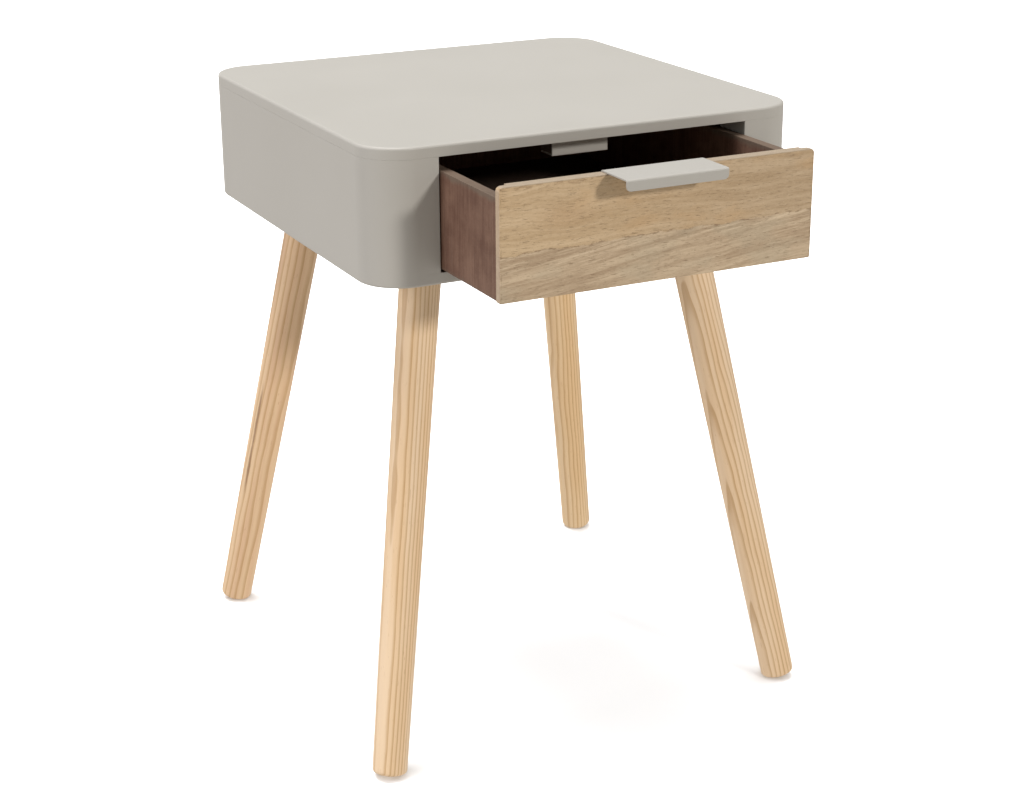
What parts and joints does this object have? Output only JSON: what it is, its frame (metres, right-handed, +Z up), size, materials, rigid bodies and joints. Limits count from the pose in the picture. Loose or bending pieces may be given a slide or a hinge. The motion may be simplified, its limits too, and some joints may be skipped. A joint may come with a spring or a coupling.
{
  "type": "side table",
  "caption": "Small square side table with a rounded lacquered case on splayed turned wooden legs, and a wooden-fronted drawer with a bent metal edge pull, drawn part way out.",
  "frame": {"origin": "on the floor, under the middle of the table's whole box as it stands at rest, with the drawer 104 mm open", "axes": "+Z up, +Y towards the back of the table, +X towards its right side as seen from the front; the drawer opens towards -Y"},
  "size_m": [0.4308, 0.5494, 0.55],
  "materials": {
    "case_lacquer": "satin taupe lacquer over fibreboard",
    "pull_lacquer": "satin taupe lacquer over bent sheet steel",
    "oak_front": "matt oiled light board with level grain",
    "stained_ply": "matt reddish brown stain on thin ply",
    "hardboard": "matt brown hardboard",
    "pine": "satin clear lacquer on turned pine",
    "beech": "waxed bare beech",
    "zinc_steel": "bright zinc"
  },
  "bodies": {
    "case": {"back_wall": "case_lacquer", "case_screw_1": "zinc_steel", "case_screw_2": "zinc_steel", "case_screw_3": "zinc_steel", "case_screw_4": "zinc_steel", "case_screw_5": "zinc_steel", "case_screw_6": "zinc_steel", "case_screw_7": "zinc_steel", "case_screw_8": "zinc_steel", "drawer_stop": "case_lacquer", "floor_panel": "case_lacquer", "front_post_left": "case_lacquer", "front_post_right": "case_lacquer", "guide_left": "beech", "guide_right": "beech", "kicker_left": "beech", "kicker_right": "beech", "leg_bolt_front_left": "zinc_steel", "leg_bolt_front_right": "zinc_steel", "leg_bolt_rear_left": "zinc_steel", "leg_bolt_rear_right": "zinc_steel", "leg_front_left": "pine", "leg_front_right": "pine", "leg_nut_front_left": "zinc_steel", "leg_nut_front_right": "zinc_steel", "leg_nut_rear_left": "zinc_steel", "leg_nut_rear_right": "zinc_steel", "leg_rear_left": "pine", "leg_rear_right": "pine", "rear_corner_left": "case_lacquer", "rear_corner_right": "case_lacquer", "runner_left": "beech", "runner_right": "beech", "side_wall_left": "case_lacquer", "side_wall_right": "case_lacquer", "stop_screw_left": "zinc_steel", "stop_screw_right": "zinc_steel", "tabletop": "case_lacquer", "top_dowel_1": "beech", "top_dowel_2": "beech", "top_dowel_3": "beech", "top_dowel_4": "beech", "top_dowel_5": "beech", "top_dowel_6": "beech", "top_dowel_7": "beech", "top_dowel_8": "beech"},
    "drawer": {"drawer_back": "stained_ply", "drawer_bottom": "hardboard", "drawer_front": "oak_front", "drawer_pull": "pull_lacquer", "drawer_side_left": "stained_ply", "drawer_side_right": "stained_ply", "pull_screw_left": "zinc_steel", "pull_screw_right": "zinc_steel"}
  },
  "joints": [
    {"name": "drawer_slide", "type": "slide", "parent": "case", "child": "drawer", "axis": [0, -1, 0], "range_m": [-0.104, 0.2195]}
  ]
}
